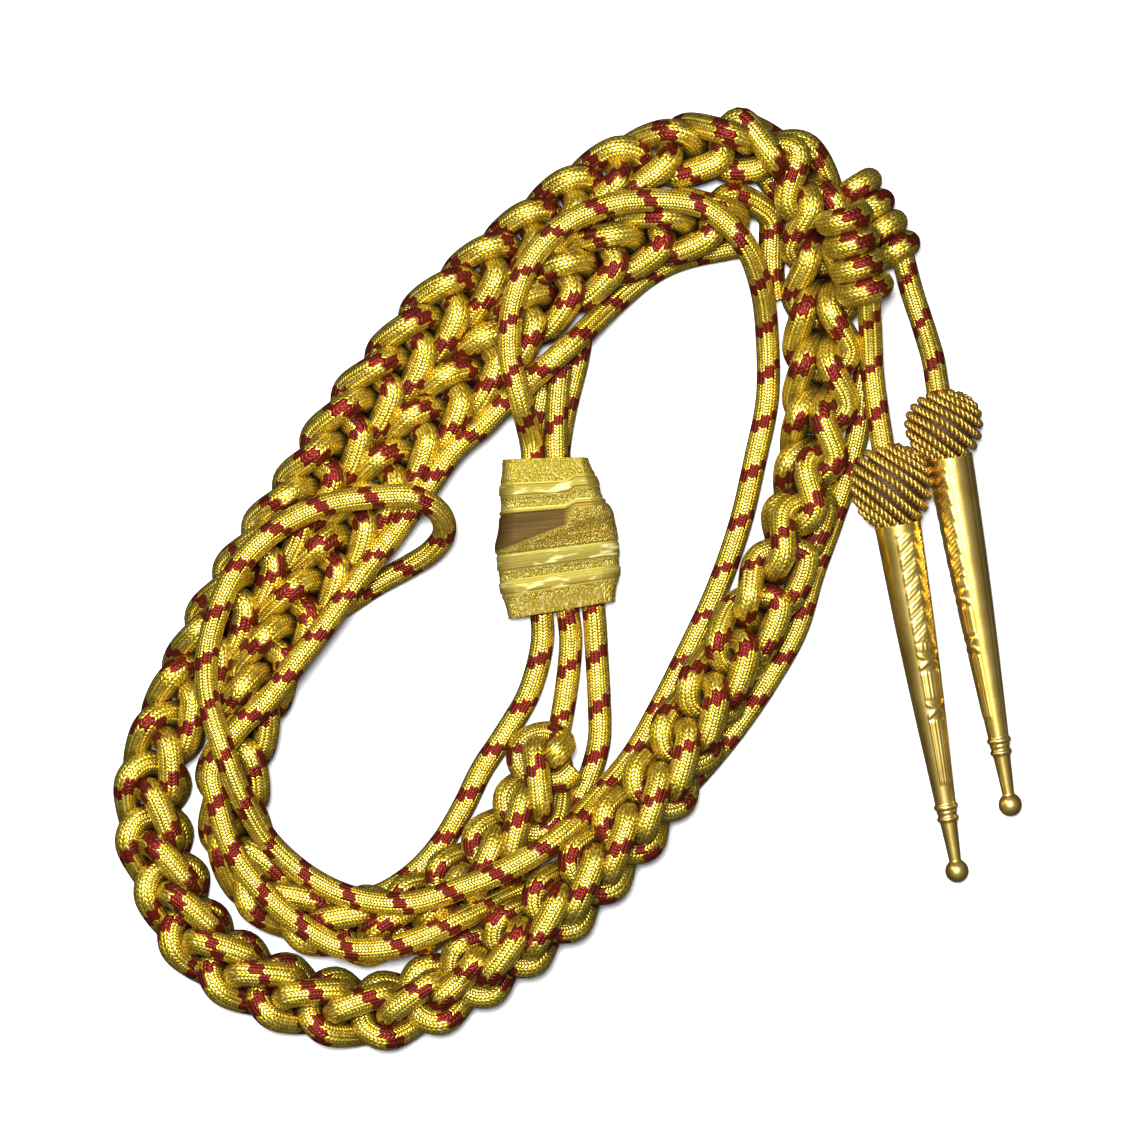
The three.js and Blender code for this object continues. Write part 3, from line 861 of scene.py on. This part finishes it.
# %% Relief of the bands
# Where each thin cord lies, as a share of the slide's length
SLIDE_LINES = [0.012, 0.155, 0.235, 0.315, 0.35, 0.59, 0.695, 0.76, 0.845, 0.985]
LINE_HALF = 0.011
LINE_HIGH = 0.35 * MM
PURL_BANDS = [(0.02, 0.15), (0.855, 0.98)]
BEAD_BANDS = [(0.24, 0.31), (0.70, 0.755)]
PURL_HIGH = 0.45 * MM
FOLD_DEPTH = 0.8 * MM


def band_share(share, x):
    """The share at which the stripes lie: they step up where the cloth is folded."""
    step = smooth_step((x - SLIDE_MIDDLE[0] - 2.5 * MM) / (3 * MM))
    return share + 0.035 * step * (share < 0.5)


def slide_relief(share, grid):
    x = grid[:, :, 0]
    q = band_share(share, x)
    high = np.zeros_like(q)
    for place in SLIDE_LINES:
        high += LINE_HIGH * ridge(q - place, LINE_HALF)
    for start, end in PURL_BANDS + BEAD_BANDS:
        high += PURL_HIGH * ridge(q - (start + end) / 2, (end - start) / 2)
    on_top = smooth_step((grid[:, :, 2] - 6 * MM) / (3 * MM))
    fold = np.exp(-(((q - 0.47 + 4.5 * (x - SLIDE_MIDDLE[0])) / 0.07) ** 2))
    high -= FOLD_DEPTH * fold * on_top
    return high


# Colours by the share along the slide: purl, satin, beading and the band of the fold; the fold's dark is
# painted shade, mixed in by the material
SATIN_THREAD = 0.3 * MM
LACE_STOPS = [
    (0.0, (0.43, 0.32, 0.012, 1)), (0.14, (0.40, 0.30, 0.012, 1)), (0.155, (0.40, 0.33, 0.04, 1)),
    (0.17, (0.22, 0.165, 0.010, 1)), (0.225, (0.26, 0.20, 0.012, 1)), (0.25, (0.30, 0.22, 0.014, 1)),
    (0.315, (0.46, 0.38, 0.06, 1)), (0.335, (0.27, 0.18, 0.012, 1)), (0.38, (0.31, 0.20, 0.010, 1)),
    (0.56, (0.31, 0.20, 0.010, 1)), (0.595, (0.36, 0.30, 0.04, 1)), (0.61, (0.26, 0.205, 0.014, 1)),
    (0.68, (0.21, 0.155, 0.010, 1)), (0.71, (0.30, 0.22, 0.014, 1)), (0.765, (0.34, 0.27, 0.03, 1)),
    (0.83, (0.19, 0.135, 0.010, 1)), (0.86, (0.31, 0.22, 0.014, 1)), (1.0, (0.34, 0.24, 0.018, 1)),
]


# %% Make the slide
def grid_normals(grid):
    """Outward directions of a grid whose rows are closed rounds."""
    down = np.gradient(grid, axis=0)
    round_it = np.roll(grid, -1, axis=1) - np.roll(grid, 1, axis=1)
    normals = np.cross(down, round_it)
    return normals / np.maximum(np.linalg.norm(normals, axis=2, keepdims=True), 1e-12)


def grid_piece(name, grid, uv, material, closed_ends=False):
    """A mesh from a grid of closed rounds: its last row joins its first, unless it has ends."""
    rows, columns = grid.shape[:2]
    mesh = bpy.data.meshes.new(name)
    faces = []
    uvs = []
    last = rows - 1 if closed_ends else rows
    for i in range(last):
        below = (i + 1) % rows
        for j in range(columns):
            k = (j + 1) % columns
            faces.append((i * columns + j, i * columns + k, below * columns + k, below * columns + j))
            u0 = j / columns
            u1 = (j + 1) / columns
            v0 = uv[i]
            v1 = uv[below] if below else uv[i]
            uvs += [u0, v0, u1, v0, u1, v1, u0, v1]
    if closed_ends:
        faces.append(tuple(range(columns)))
        uvs += [0.0, uv[0]] * columns
        faces.append(tuple(range((rows - 1) * columns, rows * columns))[::-1])
        uvs += [0.0, uv[-1]] * columns
    mesh.from_pydata(grid.reshape(-1, 3).tolist(), [], faces)
    layer = mesh.uv_layers.new(name="UVMap")
    layer.data.foreach_set("uv", uvs)
    mesh.materials.append(material)
    mesh.polygons.foreach_set("use_smooth", [True] * len(mesh.polygons))
    turned = bmesh.new()
    turned.from_mesh(mesh)
    bmesh.ops.recalc_face_normals(turned, faces=turned.faces)
    turned.to_mesh(mesh)
    turned.free()
    return new_piece(name, mesh)


def lace_material():
    material, field = new_material("gold_lace")
    around, share = uv_parts(field)
    place = field.node("TexCoord", output=3)
    x = field.node("SeparateXYZ", None, {0: place})
    beside = ((x - SLIDE_MIDDLE[0] - 2.5 * MM) * (1 / (3 * MM))).clamped()
    q = share + beside * (share < 0.5) * 0.035
    base = field.node("ValToRGB", {"stops": LACE_STOPS}, {0: q})
    # Satin: long threads that run round the slide, each a little lighter or darker
    threads = (share * (SLIDE_LENGTH / SATIN_THREAD)).floor().random(5.0)
    # Painted glints: a pale gold where a soft noise runs high on the satin bands
    sheen = field.node("TexNoise", {"noise_dimensions": "2D"}, {
        "Vector": field.node("CombineXYZ", None, {0: x * 150.0, 1: share * 26.0}),
        "Scale": 1.0,
    })
    satin = ((q > 0.165) * (q < 0.235) + (q > 0.6) * (q < 0.69) + (q > 0.77) * (q < 0.845)).clamped()
    glint = ((sheen - 0.53) * 4.5).clamped() * satin
    # Painted shade in the fold, where the cloth dips: a dark brown whose lower edge slants up to the
    # right
    sideways = (x - SLIDE_MIDDLE[0]) * (1 / (14 * MM))
    fold_edge = 0.575 - (sideways + 1) * 0.1
    fold = ((q - 0.325) * 40).clamped() * ((fold_edge - q) * 40).clamped()
    fold = fold * ((0.36 - sideways) * 5).clamped()
    # Purl and beading: short upright coils of wire, side by side
    coil = field.node("TexVoronoi", {"voronoi_dimensions": "2D"}, {
        "Vector": field.node("CombineXYZ", None, {0: x * 2500.0, 1: share * 62.0}),
        "Scale": 1.0,
    })
    spark = Field(field.tree, coil.socket.node.outputs["Color"])
    spark = field.node("SeparateColor", None, {0: spark})
    purl = (q < 0.15) + (q > 0.855) + (q > 0.24) * (q < 0.31) + (q > 0.70) * (q < 0.755)
    purl = (purl + (q > 0.37) * (q < 0.59)).clamped() * (1 - fold)
    # Painted highlights: the satin's glints and a pale sparkle on each purl coil mix the colour towards
    # pale gold, with each satin thread's random tone
    light = purl.between(threads * 0.14 + glint * 0.9, spark.power(3.0) * 0.5)
    # The fold's painted shade: it dims the painted highlights and darkens the colour to a dark brown
    light = (light * (1 - fold * 0.8)).clamped()
    colour = fold.mix(base, (0.085, 0.044, 0.004, 1))
    colour = light.mix(colour, (0.80, 0.76, 0.34, 1))
    shade = (purl * coil.power(1.5) * 0.7).clamped()
    colour = shade.mix(colour, (0.24, 0.155, 0.006, 1))
    height = purl.between(threads * 0.3, 1 - coil)
    close_material(field, colour, purl.between(0.66, 0.54), 0.75, height, 0.22 * MM)
    return material


slide_shares = np.linspace(0, 1, SLIDE_ROWS)
outside = slide_grid(slide_shares, 0)
outside_shares = slide_shares[:, None] * np.ones(SLIDE_COLUMNS)
outside += grid_normals(outside) * slide_relief(outside_shares, outside)[:, :, None]
outside[:, :, 2] = np.maximum(outside[:, :, 2], ROUTE_TO_FRAME[2])
inside_shares = np.linspace(1, 0, SLIDE_INSIDE_ROWS)
inside = slide_grid(inside_shares, SLIDE_WALL)
slide = grid_piece(
    "slide_lace",
    np.vstack([outside, inside]),
    list(slide_shares) + list(inside_shares),
    lace_material(),
)
dress(slide, "gold_lace", "slide")

# %% [markdown]
# ## The points and their acorns
# Each pendant cord ends in a metal point, and an acorn covers the joint. The points are
# gilt brass: a long cone with a stamped strip of leaves, crossed ribbons and reeds down one
# side, a soldered seam on the other, two rings, a neck and a ball. The strip shows on the
# right of the first point and on the left edge of the second, so one function draws it,
# turned by another angle.

# %% Outline of a point
TAG_LENGTH = 93.6 * MM
TAG_MOUTH = 11.8 * MM
TAG_WALL = 0.8 * MM
TAG_BALL = 6 * MM
TAG_COLUMNS = 112
TAG_STEP = 0.26 * MM
# Mouth, tip, the acorn's length and width in millimetres, and the turn of the stamped
# strip in degrees
POINTS = {
    1: ((84.9, 10.4, 11), (101, -81, 3.2), 20.4, 21.4, 28),
    2: ((98.2, 27.4, 9.9), (115, -66, 3.2), 17, 20.2, -58),
}
TAG_TAPER = [
    (0, 1), (0.1, 0.955), (0.27, 0.87), (0.42, 0.765), (0.56, 0.65), (0.68, 0.54), (0.78, 0.45),
    (0.80, 0.43), (0.818, 0.40), (0.832, 0.37), (0.94, 0.26), (1, 0.26),
]
# Each ring: its middle along the point, half its width and how proud it stands
TAG_RINGS = [(0.7885, 0.0075, 0.09), (0.822, 0.0065, 0.09), (0.803, 0.003, 0.02)]


def tag_radius(share):
    taper = np.array(TAG_TAPER)
    radius = np.interp(share, taper[:, 0], taper[:, 1])
    for middle, half, proud in TAG_RINGS:
        radius += proud * ridge(share - middle, half)
    ball_middle = 1 - TAG_BALL / 2 / TAG_LENGTH
    ball = (TAG_BALL / 2) ** 2 - ((share - ball_middle) * TAG_LENGTH) ** 2
    ball_radius = np.sqrt(np.maximum(ball, 0))
    radius = radius * TAG_MOUTH / 2
    return np.where(share > ball_middle, ball_radius, np.maximum(radius, ball_radius))


# %% The stamped strip
STRIP_HALF = 42
STRIP_HIGH = 0.24 * MM
RIBBON_HALF = 0.75 * MM


def ribbon(turn, along, middle, rise):
    """A raised ribbon that crosses the strip on a slant, from 0 to 1."""
    return ridge(along - middle - turn / STRIP_HALF * rise, RIBBON_HALF)


def reeds(turn, along, start, end):
    """Parallel rounded reeds between two places along the point."""
    inside = smooth_step((along - start) / MM) * smooth_step((end - along) / MM)
    return inside * np.abs(np.sin(np.radians(turn + STRIP_HALF) * math.pi / 0.235)) ** 0.7


def strip_relief(turn, along):
    """How proud the strip stands, from its turn in degrees and the length along."""
    strip = smooth_step((STRIP_HALF - np.abs(turn)) / 5)
    # Pairs of leaves that point away from the mouth, on a stem, each with a vein
    leaf = (along / (4.2 * MM) - np.abs(turn) / 40) % 1
    leaves = np.sin(np.pi * leaf) ** 0.8 * (0.6 + 0.4 * np.cos(np.radians(np.abs(turn) * 9)))
    leaves += 0.3 * np.exp(-((turn / 3.5) ** 2)) + 0.15 * np.sin(along / MM * 5 + turn / 3)
    leaves *= smooth_step((along - 2 * MM) / MM) * smooth_step((31 * MM - along) / MM)
    high = leaves
    for start, end in ((30.5, 33.5), (38, 46), (50.5, 68)):
        high = np.maximum(high, 0.8 * reeds(turn, along, start * MM, end * MM))
    for middle in (35.5, 48.2):
        for rise in (1.9 * MM, -1.9 * MM):
            high = np.maximum(high, ribbon(turn, along, middle * MM, rise))
    return STRIP_HIGH * strip * high


def seam_relief(turn, along):
    away = np.abs((turn - 102 + 180) % 360 - 180)
    return -0.22 * MM * np.exp(-((away / 2.2) ** 2)) * (along < 0.8 * TAG_LENGTH)


# %% Polished gold
def polished_gold_material():
    material, field = new_material("polished_gold")
    cloud = clouds(field, 120.0, 4.0)
    fine = clouds(field, 1400.0, 3.0)
    colour = cloud.mix((0.82, 0.52, 0.08, 1), (1.0, 0.77, 0.25, 1))
    roughness = cloud.between(0.24, 0.38)
    close_material(field, colour, roughness, 1.0, fine, 0.02 * MM)
    return material


POLISHED_GOLD = polished_gold_material()


# %% Make the points
def round_grid(start, axes, places, radii):
    """Rounds about an axis: a row for each place, a column for each direction."""
    ahead, right, above = axes
    columns = radii.shape[1]
    angle = np.arange(columns) / columns * 2 * math.pi
    round_it = np.cos(angle)[:, None] * right + np.sin(angle)[:, None] * above
    return start + places[:, None, None] * ahead + radii[:, :, None] * round_it


def add_tag(number, mouth, tip, strip_turn):
    start, *axes = sloping_axes(mouth, tip)
    shares = np.linspace(0, 1, int(TAG_LENGTH / TAG_STEP))[:-1]
    mouth_radius = TAG_MOUTH / 2
    bore = [(0.5, 0.02), (0.457, 0.45), (0.2, 0.68), (0, 1 - TAG_WALL / mouth_radius)]
    places = np.concatenate([[along for along, _ in bore], shares, [0.9999]])
    radii = np.concatenate([[wide * mouth_radius for _, wide in bore], tag_radius(shares), [0.05 * MM]])
    angle = np.arange(TAG_COLUMNS) / TAG_COLUMNS * 2 * math.pi
    turn = (90 - np.degrees(angle) - strip_turn + 180) % 360 - 180
    along = (places * TAG_LENGTH)[:, None]
    relief = strip_relief(turn[None, :], along) + seam_relief(turn[None, :], along)
    relief[: len(bore)] = 0
    grid = round_grid(start, axes, places * TAG_LENGTH, radii[:, None] + relief)
    piece = grid_piece(f"tag_{number}_point", grid, list(places), POLISHED_GOLD, closed_ends=True)
    return dress(piece, "point_metal", f"tag_{number}")


for number, (mouth, tip, _, _, strip_turn) in POINTS.items():
    add_tag(number, mouth, tip, strip_turn)

# %% [markdown]
# The acorn is a wooden form covered with a net of fine twisted wire. Two wires twisted
# together run round and round it on a slant, row beside row. The lines are worked out on a
# sphere, pressed to the acorn's shape, and given to the same sheath tree with a fine
# diameter, over a core that closes the gaps: its near-black colour is painted shade.

# %% Make the acorns
WIRE = 1.08 * MM
WIRE_TWIST = 3.0 * MM
ROW_SPACING = 2.75 * MM
WIRE_STEP = 0.3 * MM
ROW_SLANT = math.radians(48)
ACORN_FOOT = 0.3 * MM
INTO_MOUTH = 2.6 * MM
# How far the middle of a twisted pair lies inside the acorn's outline
WIRE_INSIDE_SIDES = 1.0 * MM
WIRE_INSIDE_ENDS = 0.9 * MM
WIRE_TURN_POINTS = 60000
CORE_ROWS = 40
CORE_COLUMNS = 48


def wound_wire_material():
    material, field = new_material("wound_wire")
    along, around = uv_parts(field)
    cloud = clouds(field, 160.0, 3.0)
    colour = cloud.mix((0.36, 0.20, 0.03, 1), (0.76, 0.52, 0.11, 1))
    groove = (along * (1 / (0.35 * MM)) + around).hump()
    close_material(field, colour, 0.36, 0.9, groove, 0.05 * MM)
    return material


def wound_core_material():
    material, field = new_material("wound_core")
    # Near black with a little random tone: the padding is real, its dark is painted shade between the
    # wires
    cloud = clouds(field, 600.0, 3.0)
    colour = cloud.mix((0.025, 0.010, 0.002, 1), (0.07, 0.032, 0.007, 1))
    close_material(field, colour, 0.6, 0.3, cloud, 0.1 * MM)
    return material


WOUND_WIRE = wound_wire_material()
CORE_PAINTED_SHADE = wound_core_material()


def wire_lines(centre, axes, half_long, half_wide):
    ahead, right, above = axes
    slanted = math.cos(ROW_SLANT) * ahead - math.sin(ROW_SLANT) * right
    sideways = math.cos(ROW_SLANT) * right + math.sin(ROW_SLANT) * ahead
    rows = math.pi * half_wide / ROW_SPACING
    turns = np.linspace(0, rows, WIRE_TURN_POINTS)
    latitude = (turns / rows - 0.5) * math.radians(172)
    angle = turns * 2 * math.pi
    directions = (
        np.outer(np.sin(latitude), slanted)
        + np.outer(np.cos(latitude) * np.cos(angle), sideways)
        + np.outer(np.cos(latitude) * np.sin(angle), above)
    )
    places = directions @ ahead
    length_part = np.outer(places, ahead)
    stretch = np.where(places > 0, half_long + INTO_MOUTH, half_long)[:, None]
    surface = length_part * stretch + (directions - length_part) * half_wide
    along = lengths_along(surface)
    ahead_of = np.gradient(surface, axis=0)
    ahead_of /= np.linalg.norm(ahead_of, axis=1)[:, None]
    across = np.cross(directions, ahead_of)
    lines = []
    for phase in (0, math.pi):
        twist = along / WIRE_TWIST * 2 * math.pi + phase
        offset = across * np.cos(twist)[:, None] + directions * np.sin(twist)[:, None]
        line = centre + surface + offset * WIRE * 0.52
        lines.append(even_steps(line, WIRE_STEP))
    return lines


def acorn_core(name, centre, axes, half_long, half_wide):
    """The padding under the wires, the same shape a wire's thickness smaller; its dark colour is painted
    shade.
    """
    latitude = np.radians(np.linspace(-88, 88, CORE_ROWS))
    stretch = np.where(latitude > 0, half_long + INTO_MOUTH, half_long)
    places = np.sin(latitude) * stretch
    radii = np.cos(latitude) * half_wide
    grid = round_grid(centre, axes, places, np.repeat(radii[:, None], CORE_COLUMNS, axis=1))
    return grid_piece(name, grid, list(places), CORE_PAINTED_SHADE, closed_ends=True)


def join(pieces):
    bpy.ops.object.select_all(action="DESELECT")
    for piece in pieces:
        piece.select_set(True)
    bpy.context.view_layer.objects.active = pieces[0]
    bpy.ops.object.join()
    return pieces[0]


for number, (mouth, tip, long, wide, _) in POINTS.items():
    start, *axes = sloping_axes(mouth, tip)
    half_wide = wide / 2 * MM - WIRE_INSIDE_SIDES
    half_long = long / 2 * MM - WIRE_INSIDE_ENDS
    centre = start - axes[0] * (ACORN_FOOT + long / 2 * MM)
    wires = wire_lines(centre, axes, half_long, half_wide)
    net = sheathed(f"acorn_{number}_wires", wires, WIRE, 5, WOUND_WIRE)
    core = acorn_core(f"acorn_{number}_core", centre, axes, half_long - WIRE, half_wide - WIRE)
    dress(join([net, core]), "wound_wire", f"acorn_{number}")

# %% [markdown]
# ## Floor and light
# A pale floor and soft studio light. One broad light hangs above, beside the lens, so every
# cord has its bright stripe in the middle whichever way it runs.

# %% Floor and lights
FLOOR_SIZE = 3.0
FLOOR_WHITE = (0.93, 0.93, 0.93, 1)
# Name, place, diameter in metres and watts
LIGHTS = [("key", (-0.1, 0.2, 1.7), 0.4, 60), ("side", (-0.8, 0.5, 0.8), 0.5, 2.5)]
# The sky's grey straight below and straight above
SKY_GREYS = [(0.0, 0.07), (1.0, 0.30)]


def add_floor():
    half = FLOOR_SIZE / 2
    mesh = bpy.data.meshes.new("floor")
    corners = [(-half, -half, 0), (half, -half, 0), (half, half, 0), (-half, half, 0)]
    mesh.from_pydata(corners, [], [(0, 1, 2, 3)])
    material, field = new_material("floor_white")
    shader = field.node(
        "BsdfPrincipled", None, {"Base Color": FLOOR_WHITE, "Roughness": 0.9}
    )
    field.node("OutputMaterial", None, {0: shader})
    mesh.materials.append(material)
    floor = placed("floor", mesh)
    # The object was cut out of its picture: no light comes up from here
    floor.visible_diffuse = False
    floor.visible_glossy = False


def add_light(name, place, size, watts):
    data = bpy.data.lights.new(name, "AREA")
    data.shape = "DISK"
    data.size = size
    data.energy = watts
    light = placed(name, data)
    light.location = place
    direction = Vector((0, 0, 0)) - Vector(place)
    light.rotation_euler = direction.to_track_quat("-Z", "Y").to_euler()


def add_world():
    """A soft sky: bright overhead, dim at the horizon and below it."""
    world = bpy.data.worlds.new("studio")
    world.use_nodes = True
    field = Field(world.node_tree)
    place = field.node("TexCoord")
    height = field.node("SeparateXYZ", None, {0: place}, output=2)
    stops = [(at, (grey, grey, grey, 1)) for at, grey in SKY_GREYS]
    sky = field.node("ValToRGB", {"stops": stops}, {0: height})
    field.tree.links.new(sky.socket, field.tree.nodes["Background"].inputs["Color"])
    bpy.context.scene.world = world


add_floor()
for light in LIGHTS:
    add_light(*light)
add_world()
bpy.context.scene.view_settings.view_transform = "Standard"
